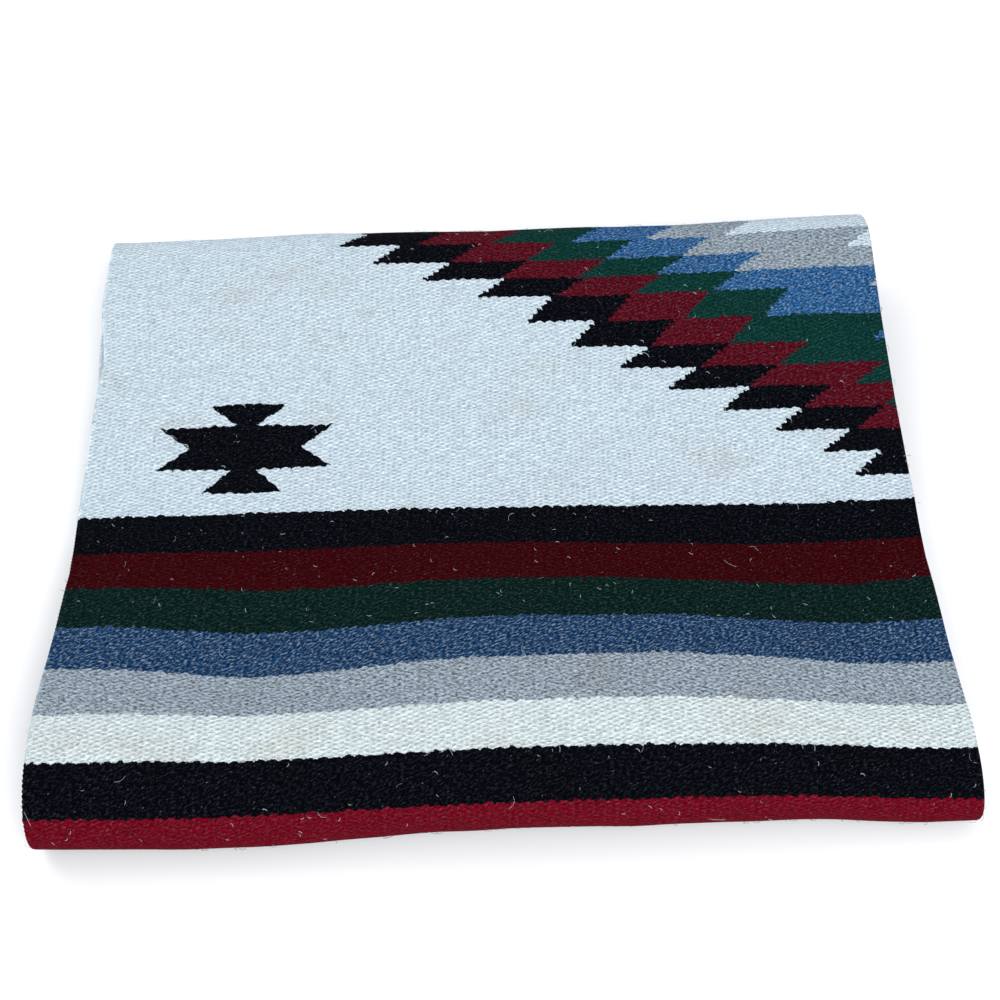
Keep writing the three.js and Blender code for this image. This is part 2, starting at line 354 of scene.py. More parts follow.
def cap_faces(ring: Array, first: bool) -> list[tuple[int, ...]]:
    """Closes a thin ring with a zigzag of quads between its two faces."""
    faces = []
    low, high = 0, len(ring) - 1
    while high - low > 2:
        face = (ring[low], ring[low + 1], ring[high - 1], ring[high])
        faces.append(face if first else face[::-1])
        low, high = low + 1, high - 1
    if high - low == 2:
        face = (ring[low], ring[low + 1], ring[high])
        faces.append(face if first else face[::-1])
    return [tuple(int(corner) for corner in face) for face in faces]


def recalculate_outwards(piece: bpy.types.Object) -> None:
    """Turns every face outwards."""
    import bmesh

    work = bmesh.new()
    work.from_mesh(piece.data)
    bmesh.ops.recalc_face_normals(work, faces=work.faces)
    work.to_mesh(piece.data)
    work.free()


# ---- cloth pieces -------------------------------------------------------------------------


class RightEdge(enum.Enum):
    """How a run of the web ends at the right."""

    DOUBLED = "turned under along the centre line"
    BUTTED = "meets the turned-under edge of the web above it"


@dataclass
class WebRun:
    """A long run of the web that goes round the whole packet.

    Args:
        name: The piece's name.
        depth: Depth of its outer face below the packet's outer face, in mm.
        thickness: Of the cloth, in mm.
        left_inset: How far its selvedge is drawn in.
        right_edge: How it ends at the right.
        end_inset: How far its free end stops short of the web's.
    """

    name: str
    depth: float
    thickness: float
    left_inset: float
    right_edge: RightEdge
    end_inset: float
    columns: int = 120
    round_steps: int = 6
    edges: list[tuple[Array, Array]] = field(default_factory=list)

    def places(self, form: PacketForm) -> Array:
        """Where the rings stand along the web: close on the folds, wide on the ground."""
        end = form.web_end - self.end_inset
        back = np.arange(form.lip_start, 40.0, 2.2)
        top = np.arange(back[-1] + 4.0, 470.0, 4.0)
        roll = np.arange(top[-1] + 2.8, form.roll_end, 2.8)
        ground = np.linspace(form.roll_end, end, 30)
        return np.concatenate([back, top, roll, ground])

    def build(self, surface: PacketSurface) -> bpy.types.Object:
        """Makes the run as one closed wall."""
        form = surface.form
        along = self.places(form)[:, None]
        left, right = surface.edges(along)
        half = self.thickness / 2
        wander = 1.4 * np.sin(along / 47.0 + self.depth) + 0.8 * np.sin(along / 19.0)
        start = left + self.left_inset + (wander if self.depth > 0 else 0.35 * wander) + half
        doubled = self.right_edge is RightEdge.DOUBLED
        stop = right - form.fold_overlap - (0 if doubled else 1.2 + half)
        share = np.linspace(0, 1, self.columns + 1)[None, :]
        across = start + (stop - start) * share
        turn = np.linspace(0, math.pi, self.round_steps + 1)[None, :]
        columns = [across]
        depths = [np.zeros_like(across)]
        if doubled:
            radius = self.thickness
            lip = np.linspace(form.fold_overlap - radius, 0, 5)[None, :]
            flat = np.linspace(0, form.fold_overlap - radius, 5)[None, 1:-1]
            columns += [stop + flat, right - radius + radius * np.sin(turn), stop + lip[:, 1:]]
            depths += [0 * (stop + flat), radius * (1 - np.cos(turn)) + 0 * right, 2 * radius + 0 * (stop + lip[:, 1:])]
        else:
            columns += [stop + half * np.sin(turn[:, 1:-1])]
            depths += [half * (1 - np.cos(turn[:, 1:-1])) + 0 * stop]
        columns += [across[:, ::-1], start - half * np.sin(turn[:, 1:-1])]
        depths += [np.full_like(across, self.thickness), half * (1 + np.cos(turn[:, 1:-1])) + 0 * start]
        x = np.concatenate(columns, axis=1)
        depth = np.concatenate(depths, axis=1) + self.depth
        rings = surface.place(surface.point(x, along + 0 * x, depth))
        uvs = np.stack([(x - left) * MM, (along + 0 * x) * MM], axis=-1)
        rim = surface.place(surface.point(start - 0.7, along, half + 0 * along))[:, 0]
        self.edges = [(rim, uvs[:, 0])]
        return mesh_from_rings(self.name, rings, uvs)


@dataclass
class Core:
    """The room inside the outer run of the web, as heights over a plan grid, in mm."""

    surface: PacketSurface
    depth: float = 7.2
    columns: int = 49
    rows: int = 121
    x: Array = field(init=False)
    y: Array = field(init=False)
    roof: Array = field(init=False)
    floor: Array = field(init=False)
    front: float = field(init=False)

    def __post_init__(self) -> None:
        """Measures the roof and the floor."""
        surface, form = self.surface, self.surface.form
        turn = form.roll_end - arc_length(form.nose_radius, 90)
        self.x = np.linspace(-form.half_width, form.half_width, self.columns)
        over = surface.point(self.x[:, None], np.linspace(4.0, turn, 240)[None, :], self.depth)
        under = surface.point(self.x[:, None], np.linspace(turn, form.roll_end, 50)[None, :], self.depth)
        self.front = float(over[:, :, 1].min(axis=1).max())
        self.y = np.linspace(self.front, -6.0, self.rows)
        self.roof = np.array([np.interp(self.y, line[::-1, 1], line[::-1, 2]) for line in over])
        self.floor = np.array([np.interp(self.y, line[:, 1], line[:, 2]) for line in under])

    def room(self, x: Array, y: float) -> tuple[Array, Array]:
        """Floor and roof heights above a row of places across the packet."""
        row = np.clip((y - self.y[0]) / (self.y[1] - self.y[0]), 0, self.rows - 1.001)
        low, share = int(row), row - int(row)
        lines = ((grid[:, low] * (1 - share) + grid[:, low + 1] * share) for grid in (self.floor, self.roof))
        floor, roof = (np.interp(x, self.x, line) for line in lines)
        return floor, roof


@dataclass
class InnerFold:
    """A doubled layer inside the packet: two sheets joined by a rounded fold at the right.

    Args:
        name: The piece's name.
        upper: Height of its upper sheet as a part of the core, from the ground up.
        lower: Height of its lower sheet.
        left_inset: How far the two selvedges are drawn in.
        right_inset: How far the fold is drawn in.
        back: Distance of its back end from the back of the packet, in mm.
        lift: How much the upper sheet sinks towards the back, as a part of the core.
    """

    name: str
    upper: float
    lower: float
    left_inset: tuple[float, float]
    right_inset: float
    back: float
    sink: float
    thickness: float = 2.9
    columns: int = 60
    rows: int = 90
    arc_steps: int = 10
    round_steps: int = 5
    front_clearance: float = 9.0
    edges: list[tuple[Array, Array]] = field(default_factory=list)

    def heights(self, core: Core, x: Array, y: float) -> tuple[Array, Array]:
        """Mid-heights of the upper and the lower sheet along one ring."""
        floor, roof = core.room(x, y)
        half = self.thickness / 2
        room = np.maximum(roof - floor - 4 * self.thickness, 0.0)
        near_back = math.exp(-(((y + self.back) / 55.0) ** 2))
        upper = self.upper - self.sink * near_back
        order = 4 * self.thickness
        high = floor + half + room * upper + order * (0.75 if self.upper > 0.6 else 0.25)
        low = floor + half + room * self.lower + order * (0.5 if self.upper > 0.6 else 0.0)
        sway = 0.5 * np.sin(x / 61.0 + self.back) * np.sin(y / 43.0 + self.upper * 9)
        return high + sway * np.minimum(room, 1.0), low

    def build(self, core: Core) -> bpy.types.Object:
        """Makes the doubled layer as one closed wall."""
        surface = core.surface
        front = core.front + self.front_clearance
        rings, uvs, rims = [], [], []
        half = self.thickness / 2
        turn = np.linspace(0, math.pi, self.arc_steps + 1)
        bead = np.linspace(0, math.pi, self.round_steps + 1)[1:-1]
        for y in np.linspace(-self.back, front, self.rows):
            left, right = (float(edge) for edge in surface.edges(np.array(-y)))
            wander = 1.5 * math.sin(y / 53.0 + self.back) + 0.7 * math.sin(y / 17.0)
            stop = right - self.right_inset - 0.8 * math.sin(y / 71.0 + self.back)
            starts = [left + inset + wander * sign + half for inset, sign in zip(self.left_inset, (1.0, -0.8))]
            end_high, end_low = self.heights(core, np.array([stop - 8.0]), y)
            radius = (float(end_high[0]) - float(end_low[0])) / 2 + half
            bend = min(radius, 9.0)
            share = np.linspace(0, 1, self.columns + 1)
            upper_x = starts[0] + (stop - bend - starts[0]) * share
            lower_x = starts[1] + (stop - bend - starts[1]) * share
            high = self.heights(core, upper_x, y)[0]
            low = self.heights(core, lower_x, y)[1]
            centre = (high[-1] + low[-1]) / 2
            reach = (high[-1] - low[-1]) / 2
            inner_bend = max(bend - self.thickness, 0.6)
            x = np.concatenate([
                upper_x,
                stop - bend + bend * np.sin(turn[1:-1]),
                lower_x[::-1],
                starts[1] - half * np.sin(bead),
                lower_x,
                stop - bend + inner_bend * np.sin(turn[1:-1]),
                upper_x[::-1],
                starts[0] - half * np.sin(bead),
            ])
            z = np.concatenate([
                high + half,
                centre + (reach + half) * np.cos(turn[1:-1]),
                low[::-1] - half,
                low[0] - half * np.cos(bead),
                low + half,
                centre - max(reach - half, 0.1) * np.cos(turn[1:-1]),
                high[::-1] - half,
                high[0] - half * np.cos(bead),
            ])
            rims.append([(starts[0] - 0.7, y, high[0]), (starts[1] - 0.7, y, low[0])])
            rings.append(np.stack([x, np.full_like(x, y), z], axis=-1))
            uvs.append(np.stack([(x - left) * MM, np.full_like(x, -y * MM)], axis=-1))
        lines, flat = surface.place(np.array(rims)), np.array(uvs)
        self.edges = [(lines[:, i], flat[:, 0]) for i in (0, 1)]
        return mesh_from_rings(self.name, surface.place(np.array(rings)), flat)


# ---- finishes -----------------------------------------------------------------------------


def linear(red: float, green: float, blue: float) -> tuple[float, float, float, float]:
    """Turns a colour of 0–255 a channel into scene-linear RGBA."""
    return (*((c / 255 / 12.92) if c < 10.3 else (((c / 255) + 0.055) / 1.055) ** 2.4 for c in (red, green, blue)), 1.0)


@dataclass(frozen=True)
class Yarn:
    """A dyed wool: its 0-255 colour and how heathered it is, 0-1."""

    colour: tuple[float, float, float]
    heather: float


@dataclass(frozen=True)
class Yarns:
    """The serape's wools, and the red yarn with painted shade for the stripe on the slope that faces away from the
    light.
    """

    white: Yarn = Yarn((216, 233, 244), 0.20)
    cream: Yarn = Yarn((221, 234, 236), 0.20)
    grey: Yarn = Yarn((166, 180, 192), 1.0)
    blue: Yarn = Yarn((18, 63, 108), 1.0)
    bright_blue: Yarn = Yarn((36, 100, 160), 1.0)
    green: Yarn = Yarn((2, 31, 26), 0.13)
    bright_green: Yarn = Yarn((3, 54, 48), 0.13)
    # The red yarn with painted shade, for the first red stripe on the slope that faces away from the light.
    red_in_painted_shade: Yarn = Yarn((58, 1, 6), 0.05)
    red: Yarn = Yarn((114, 4, 26), 0.10)
    medallion_red: Yarn = Yarn((88, 4, 23), 0.14)
    black: Yarn = Yarn((4, 5, 12), 0.06)


class Graph:
    """Builds shader maths in a node tree."""

    def __init__(self, tree: bpy.types.NodeTree) -> None:
        """Args: tree: the tree the nodes go in."""
        self.tree = tree

    def node(self, kind: str, **settings: object) -> bpy.types.Node:
        """Adds a node and sets its properties."""
        made = self.tree.nodes.new(kind)
        for name, value in settings.items():
            setattr(made, name, value)
        return made

    def link(self, source: object, socket: bpy.types.NodeSocket) -> None:
        """Links a socket, or sets a plain value."""
        if isinstance(source, bpy.types.NodeSocket):
            self.tree.links.new(source, socket)
        else:
            socket.default_value = source

    def maths(self, operation: str, *values: object) -> bpy.types.NodeSocket:
        """One step of arithmetic."""
        made = self.node("ShaderNodeMath", operation=operation)
        for value, socket in zip(values, made.inputs):
            self.link(value, socket)
        return made.outputs[0]

    def rescale(self, value: object, low: float, high: float, to_low: float = 0.0, to_high: float = 1.0) -> bpy.types.NodeSocket:
        """Maps a range to another, clamped."""
        made = self.node("ShaderNodeMapRange")
        for source, socket in zip((value, low, high, to_low, to_high), made.inputs):
            self.link(source, socket)
        return made.outputs[0]

    def steps(self, value: object, low: float, high: float, levels: list[tuple[float, float]]) -> bpy.types.NodeSocket:
        """A number that jumps from level to level: (from, level) pairs over low…high, levels in 0…1."""
        ramp = self.node("ShaderNodeValToRGB")
        ramp.color_ramp.interpolation = "CONSTANT"
        self._fill(ramp.color_ramp, [((at - low) / (high - low), (v, v, v, 1.0)) for at, v in levels])
        self.link(self.rescale(value, low, high), ramp.inputs[0])
        return ramp.outputs[0]

    def bands(self, value: object, low: float, high: float, yarns: list[tuple[float, Yarn]]) -> tuple:
        """Yarns in bands.

        Args:
            value: What the bands follow.
            low: Where they start.
            high: Where they end.
            yarns: (from, yarn) pairs.

        Returns:
            Sockets of the colour and of how heathered it is.
        """
        ramp = self.node("ShaderNodeValToRGB")
        ramp.color_ramp.interpolation = "CONSTANT"
        stops = [((at - low) / (high - low), (*linear(*yarn.colour)[:3], yarn.heather)) for at, yarn in yarns]
        self._fill(ramp.color_ramp, stops)
        self.link(self.rescale(value, low, high), ramp.inputs[0])
        return ramp.outputs[0], ramp.outputs[1]

    def curve(self, value: object, low: float, high: float, points: list[tuple[float, float]]) -> bpy.types.NodeSocket:
        """A charted line through (place, value) points over low…high, values in 0…1."""
        made = self.node("ShaderNodeFloatCurve")
        line = made.mapping.curves[0]
        while len(line.points) < len(points):
            line.points.new(0.5, 0.5)
        for point, (at, level) in zip(line.points, points):
            point.location = ((at - low) / (high - low), level)
            point.handle_type = "VECTOR"
        made.mapping.update()
        self.link(self.rescale(value, low, high), made.inputs["Value"])
        return made.outputs[0]

    @staticmethod
    def _fill(ramp: bpy.types.ColorRamp, stops: list[tuple[float, tuple]]) -> None:
        """Puts the stops in a ramp."""
        while len(ramp.elements) > 1:
            ramp.elements.remove(ramp.elements[-1])
        ramp.elements[0].position, ramp.elements[0].color = stops[0]
        for position, colour in stops[1:]:
            ramp.elements.new(position).color = colour

    def mix(self, share: object, first: object, second: object) -> bpy.types.NodeSocket:
        """Mixes two colours."""
        made = self.node("ShaderNodeMix", data_type="RGBA")
        for source, socket in ((share, made.inputs[0]), (first, made.inputs[6]), (second, made.inputs[7])):
            self.link(source, socket)
        return made.outputs[2]

    def mix_number(self, share: object, first: object, second: object) -> bpy.types.NodeSocket:
        """Mixes two numbers."""
        return self.maths("ADD", first, self.maths("MULTIPLY", share, self.maths("SUBTRACT", second, first)))

    def multiply(self, colour: object, level: object) -> bpy.types.NodeSocket:
        """Darkens or lightens a colour by a number."""
        made = self.mix(1.0, colour, self.vector(level, level, level))
        made.node.blend_type = "MULTIPLY"
        return made

    def noise(self, vector: object, scale: float, detail: float = 2.0) -> bpy.types.NodeSocket:
        """Plain noise round 0.5."""
        made = self.node("ShaderNodeTexNoise")
        self.link(vector, made.inputs["Vector"])
        made.inputs["Scale"].default_value = scale
        made.inputs["Detail"].default_value = detail
        return made.outputs["Fac"]

    def vector(self, x: object, y: object, z: object = 0.0) -> bpy.types.NodeSocket:
        """Joins three numbers."""
        made = self.node("ShaderNodeCombineXYZ")
        for source, socket in zip((x, y, z), made.inputs):
            self.link(source, socket)
        return made.outputs[0]


@dataclass(frozen=True)
class WovenWool:
    """Weft-faced plain weave of hairy wool, with the serape's stripes and figures charted in it.

    All sizes are in mm. `rows` are the front edges of the medallion's rows, from the stripes to
    its middle, `row_shift` how far the weaver strayed on each, and `widened` the ring that is
    wider there and by how many rings. `sway` is how far the stripes wander along the warp from
    selvedge to centre line, and `mark` half the width of the small black figure.
    """

    name: str
    yarns: Yarns = Yarns()
    warp_pitch: float = 3.92
    bead_height: float = 3.2
    half_width: float = 300.0
    middle: float = 19.0
    first_stripe: float = 274.0
    stripe: float = 34.0
    rows: tuple[float, ...] = (253, 232.5, 214, 194.5, 174.5, 156, 136.5, 113.5, 90, 73, 56, 37, 19)
    row_shift: tuple[float, ...] = (-19.5, -4, -1, -2, -5, -5, -6, 1, 2, -4, -6, 4)
    widened: tuple[tuple[int, float], ...] = (
        (0, 0.0), (0, 0.0), (0, 0.0), (0, 0.0), (1, 0.33), (2, 0.7), (2, 0.8), (3, 0.8), (3, 1.0), (4, 1.4), (4, 1.1), (0, 0.0),
    )
    sway: tuple[tuple[float, float], ...] = (
        (0, 2), (60, 2), (130, -3), (200, -3), (280, 0), (400, 1), (470, -3), (530, -5), (580, -3), (600, -1),
    )
    ring: float = 61.0
    row_step: float = 36.5
    row_slant: float = 24.5
    ring_start: float = 278.8
    mark_middle: float = -186.0
    mark: tuple[tuple[float, float], ...] = (
        (178, 0), (179, 27), (183, 25), (197, 7), (198.5, 64), (216, 41), (234, 64), (235.5, 9), (255, 29), (256, 0),
    )

    def build(self) -> bpy.types.Material:
        """Makes the material."""
        material = bpy.data.materials.new(self.name)
        material.use_nodes = True
        tree = material.node_tree
        tree.nodes.clear()
        g = Graph(tree)
        split = g.node("ShaderNodeSeparateXYZ")
        g.link(g.node("ShaderNodeUVMap", uv_map=CLOTH_UV).outputs[0], split.inputs[0])
        across, along = (g.maths("MULTIPLY", split.outputs[i], 1000.0) for i in (0, 1))
        colour, heather = self._pattern(g, across, along)
        height = self._weave(g, across, along)
        fibre = self._noise(g, across, along, 1.9, 0.75, 4.0, slant=0.4)
        colour = self._wool(g, colour, heather, across, along, fibre)
        shade = g.rescale(height, 0.10, 0.85, 0.60, 1.10)
        bump = g.node("ShaderNodeBump")
        bump.inputs["Strength"].default_value = 0.9
        bump.inputs["Distance"].default_value = 0.0018
        g.link(g.maths("ADD", height, g.maths("MULTIPLY", fibre, 0.55)), bump.inputs["Height"])
        surface = g.node("ShaderNodeBsdfPrincipled")
        g.link(g.multiply(colour, shade), surface.inputs["Base Color"])
        surface.inputs["Roughness"].default_value = 0.95
        surface.inputs["Specular IOR Level"].default_value = 0.02
        g.link(bump.outputs[0], surface.inputs["Normal"])
        out = g.node("ShaderNodeOutputMaterial")
        g.link(surface.outputs[0], out.inputs[0])
        return material

    def _noise(self, g: Graph, across: object, along: object, wide: float, tall: float, seed: float, slant: float = 0.0) -> bpy.types.NodeSocket:
        """Noise whose grains are `wide` by `tall` mm, leaning by `slant`."""
        leaning = g.maths("ADD", along, g.maths("MULTIPLY", across, slant))
        place = g.vector(g.maths("DIVIDE", across, wide), g.maths("DIVIDE", leaning, tall), seed)
        return g.noise(place, 1.0, 2.0)

    def _weave(self, g: Graph, across: object, along: object) -> bpy.types.NodeSocket:
        """Height of the beads of weft, 0-1: alternate warps half a bead apart, leaning a little."""
        stray = g.maths("MULTIPLY", g.maths("SUBTRACT", self._noise(g, across, along, 4.2, 2.6, 1.0), 0.5), 3.2)
        drift = g.maths("MULTIPLY", self._noise(g, across, along, 90.0, 60.0, 7.0), 9.0)
        sideways = g.maths("MULTIPLY", g.maths("ADD", across, stray), math.pi / self.warp_pitch)
        lengthways = g.maths("MULTIPLY", g.maths("ADD", g.maths("ADD", along, stray), drift), math.tau / self.bead_height)
        rising = g.maths("COSINE", g.maths("ADD", sideways, lengthways))
        falling = g.maths("COSINE", g.maths("SUBTRACT", sideways, lengthways))
        lattice = g.maths("ADD", g.maths("MULTIPLY", rising, 0.22), g.maths("MULTIPLY", falling, 0.15))
        grain = g.rescale(self._noise(g, across, along, 2.4, 1.5, 31.0, slant=0.3), 0.3, 0.7, -0.16, 0.16)
        return g.maths("ADD", 0.5, g.maths("ADD", lattice, grain))

    def _pattern(self, g: Graph, across: object, along: object) -> tuple:
        """The charted yarns: end stripes, the stepped medallion and the small mark.

        Returns:
            Sockets of the colour and of how heathered it is.
        """
        y = self.yarns
        from_middle = g.maths("ADD", g.maths("ABSOLUTE", g.maths("SUBTRACT", along, self.middle)), self.middle)
        fuzz = g.maths("MULTIPLY", g.maths("SUBTRACT", self._noise(g, across, along, 1.6, 1.2, 3.0), 0.5), 2.6)
        scallop = g.maths("ABSOLUTE", g.maths("SINE", g.maths("MULTIPLY", across, math.pi / (2 * self.warp_pitch))))
        depth = g.rescale(self._noise(g, across, along, 14.0, 9.0, 13.0), 0.35, 0.65, 0.2, 2.2)
        edge = g.maths("ADD", g.maths("ADD", from_middle, fuzz), g.maths("MULTIPLY", scallop, depth))
        reach = 10.0
        chart = [(at, 0.5 + move / (2 * reach)) for at, move in self.sway]
        charted = g.maths("MULTIPLY", g.maths("SUBTRACT", g.curve(across, 0.0, 2 * self.half_width, chart), 0.5), 2 * reach)
        fade_in = g.rescale(from_middle, self.first_stripe + 20.0, self.first_stripe + 80.0)
        fade_out = g.rescale(from_middle, self.first_stripe + 150.0, self.first_stripe + 215.0, 1.0, 0.0)
        sway = g.maths("MULTIPLY", charted, g.maths("MULTIPLY", fade_in, fade_out))
        # The first red stripe gets the red with painted shade; the second red stripe gets the red yarn as it is.
        order = (y.black, y.red_in_painted_shade, y.green, y.blue, y.grey, y.cream, y.black, y.red, y.green, y.blue, y.grey, y.cream)
        stops = [(240.0, y.white)] + [(self.first_stripe + self.stripe * i, yarn) for i, yarn in enumerate(order)]
        last = self.first_stripe + self.stripe * len(order)
        stops.append((last, y.white))
        stripes, stripe_heather = g.bands(g.maths("ADD", edge, sway), 240.0, last + 20.0, stops)
        folded = g.maths("SUBTRACT", self.half_width, g.maths("ABSOLUTE", g.maths("SUBTRACT", 2 * self.half_width, across)))
        folded = g.maths("ADD", folded, fuzz)
        count = len(self.rows) - 1
        chart = [(at, 1.0 - i / count) for i, at in reversed(list(enumerate(self.rows)))]
        front = self.rows[0]
        row = g.maths("MULTIPLY", g.maths("SUBTRACT", 1.0, g.curve(edge, self.rows[-1], front, chart)), float(count))
        row = g.maths("MINIMUM", row, count - 0.001)
        number = g.maths("FLOOR", row)
        steps = g.maths("DIVIDE", g.maths("FLOOR", g.maths("MULTIPLY", g.maths("FRACT", row), 6.0)), 6.0)
        shifts = g.steps(number, -0.5, count - 0.5, [(i - 0.5, 0.5 + s / 100) for i, s in enumerate(self.row_shift)])
        shift = g.maths("MULTIPLY", g.maths("SUBTRACT", shifts, 0.5), 100.0)
        start = g.maths("SUBTRACT", self.ring_start, g.maths("MULTIPLY", number, self.row_step))
        start = g.maths("ADD", start, g.maths("ADD", g.maths("MULTIPLY", steps, self.row_slant), shift))
        ring = g.maths("DIVIDE", g.maths("SUBTRACT", folded, start), self.ring)
        ring_kinds = [(i - 0.5, 0.1 * kind) for i, (kind, _) in enumerate(self.widened)]
        wide_ring = g.maths("MULTIPLY", g.steps(number, -0.5, count - 0.5, ring_kinds), 10.0)
        growths = [(i - 0.5, 0.5 * grown) for i, (_, grown) in enumerate(self.widened)]
        growth = g.maths("MULTIPLY", g.steps(number, -0.5, count - 0.5, growths), 2.0)
        held = g.maths("MINIMUM", ring, g.maths("ADD", wide_ring, 0.999))
        ring = g.maths("MAXIMUM", held, g.maths("SUBTRACT", ring, growth))
        rings = (y.white, y.black, y.medallion_red, y.bright_green, y.bright_blue, y.grey, y.white)
        medallion, ring_heather = g.bands(ring, -1.0, 6.0, [(i - 1.0, yarn) for i, yarn in enumerate(rings)])
        inside = g.maths("LESS_THAN", edge, front)
        colour = g.mix(inside, stripes, medallion)
        heather = g.mix_number(inside, stripe_heather, ring_heather)
        widths = [(170.0, 0.0), *((at, half / 100) for at, half in self.mark), (264.0, 0.0)]
        half = g.maths("MULTIPLY", g.curve(edge, 170.0, 264.0, widths), 100.0)
        marked = g.maths("LESS_THAN", g.maths("ABSOLUTE", g.maths("SUBTRACT", folded, self.mark_middle)), half)
        return g.mix(marked, colour, linear(*y.black.colour)), g.mix_number(marked, heather, y.black.heather)

    def _wool(self, g: Graph, colour: object, heather: object, across: object, along: object, fibre: object) -> bpy.types.NodeSocket:
        """Heathers the yarns and adds kemp, lint and faint old stains."""
        light = g.rescale(self._noise(g, across, along, 2.5, 1.3, 12.0, slant=0.45), 0.50, 0.66, 0.0, 0.75)
        dark = g.rescale(self._noise(g, across, along, 2.7, 1.4, 15.0, slant=-0.3), 0.46, 0.60, 0.0, 0.95)
        pale = g.mix(0.42, colour, linear(205, 226, 244))
        heathered = g.mix(g.maths("MULTIPLY", heather, dark), colour, g.multiply(colour, 0.30))
        heathered = g.mix(g.maths("MULTIPLY", heather, light), heathered, pale)
        yarn = self._noise(g, across, along, 11.0, 2.2, 20.0)
        tone = g.maths("ADD", g.rescale(yarn, 0.25, 0.75, 0.80, 1.02), g.rescale(fibre, 0.3, 0.7, -0.12, 0.12))
        toned = g.multiply(heathered, tone)
        lint = g.rescale(self._noise(g, across, along, 1.8, 1.2, 8.0, slant=0.8), 0.69, 0.77, 0.0, 0.5)
        dusted = g.mix(lint, toned, linear(170, 182, 198))
        stain = g.rescale(self._noise(g, across, along, 70.0, 45.0, 6.0), 0.55, 0.72, 0.0, 0.45)
        tinted = g.mix(stain, dusted, linear(244, 232, 222))
        tinted.node.blend_type = "MULTIPLY"
        return tinted


@dataclass(frozen=True)
class LooseHair:
    """Pale kemp hairs and lint that stand off the cloth."""

    colour: tuple[float, float, float] = (196, 204, 214)

    def build(self) -> bpy.types.Material:
        """Makes the material."""
        material = bpy.data.materials.new("loose hair")
        material.use_nodes = True
        surface = material.node_tree.nodes["Principled BSDF"]
        surface.inputs["Base Color"].default_value = linear(*self.colour)
        surface.inputs["Roughness"].default_value = 0.8
        return material


# ---- what repeats: hairs and selvedge loops ---------------------------------------------


class Kit:
    """A small geometry-node tree with named inputs, run once and kept as a plain mesh."""

    def __init__(self, name: str, inputs: dict[str, float | int]) -> None:
        """Starts the tree.

        Args:
            name: The tree's name.
            inputs: Its named numbers, whole ones as int.
        """
        self.tree = bpy.data.node_groups.new(name, "GeometryNodeTree")
        self.sockets: dict[str, str] = {}
        self.values = inputs
        face = self.tree.interface
        face.new_socket("Geometry", in_out="INPUT", socket_type="NodeSocketGeometry")
        for title, value in inputs.items():
            kind = "NodeSocketInt" if isinstance(value, int) else "NodeSocketFloat"
            self.sockets[title] = face.new_socket(title, in_out="INPUT", socket_type=kind).identifier
        face.new_socket("Geometry", in_out="OUTPUT", socket_type="NodeSocketGeometry")
        self.input = self.tree.nodes.new("NodeGroupInput")
        self.output = self.tree.nodes.new("NodeGroupOutput")

    def node(self, kind: str, links: dict[str | int, object] | None = None, **settings: object) -> bpy.types.Node:
        """Adds a node, sets its properties and feeds its inputs with sockets or values."""
        made = self.tree.nodes.new(kind)
        for name, value in settings.items():
            setattr(made, name, value)
        for key, source in (links or {}).items():
            if isinstance(source, bpy.types.NodeSocket):
                self.tree.links.new(source, made.inputs[key])
            else:
                made.inputs[key].default_value = source
        return made

    def value(self, title: str) -> bpy.types.NodeSocket:
        """A named input's socket."""
        return self.input.outputs[title]

    def finish(self, geometry: bpy.types.NodeSocket, material: bpy.types.Material) -> None:
        """Carries the cloth's coordinates onto the result, makes it real and sets its material."""
        real = self.node("GeometryNodeRealizeInstances", {"Geometry": geometry})
        read = self.node("GeometryNodeInputNamedAttribute", {"Name": CLOTH_UV}, data_type="FLOAT_VECTOR")
        keep = self.node(
            "GeometryNodeStoreNamedAttribute",
            {"Geometry": real.outputs[0], "Name": CLOTH_UV, "Value": read.outputs[0]},
            data_type="FLOAT2",
            domain="CORNER",
        )
        dress = self.node("GeometryNodeSetMaterial", {"Geometry": keep.outputs[0], "Material": material})
        self.tree.links.new(dress.outputs[0], self.output.inputs[0])

    def run(self, carrier: bpy.types.Object, name: str) -> bpy.types.Object:
        """Runs the tree on a carrier's mesh and gives the result as an object of its own."""
        modifier = carrier.modifiers.new(name, "NODES")
        modifier.node_group = self.tree
        for title, identifier in self.sockets.items():
            modifier[identifier] = self.values[title]
        graph = bpy.context.evaluated_depsgraph_get()
        mesh = bpy.data.meshes.new_from_object(carrier.evaluated_get(graph), depsgraph=graph)
        carrier.modifiers.remove(modifier)
        mesh.name = name
        made = bpy.data.objects.new(name, mesh)
        bpy.context.scene.collection.objects.link(made)
        return made


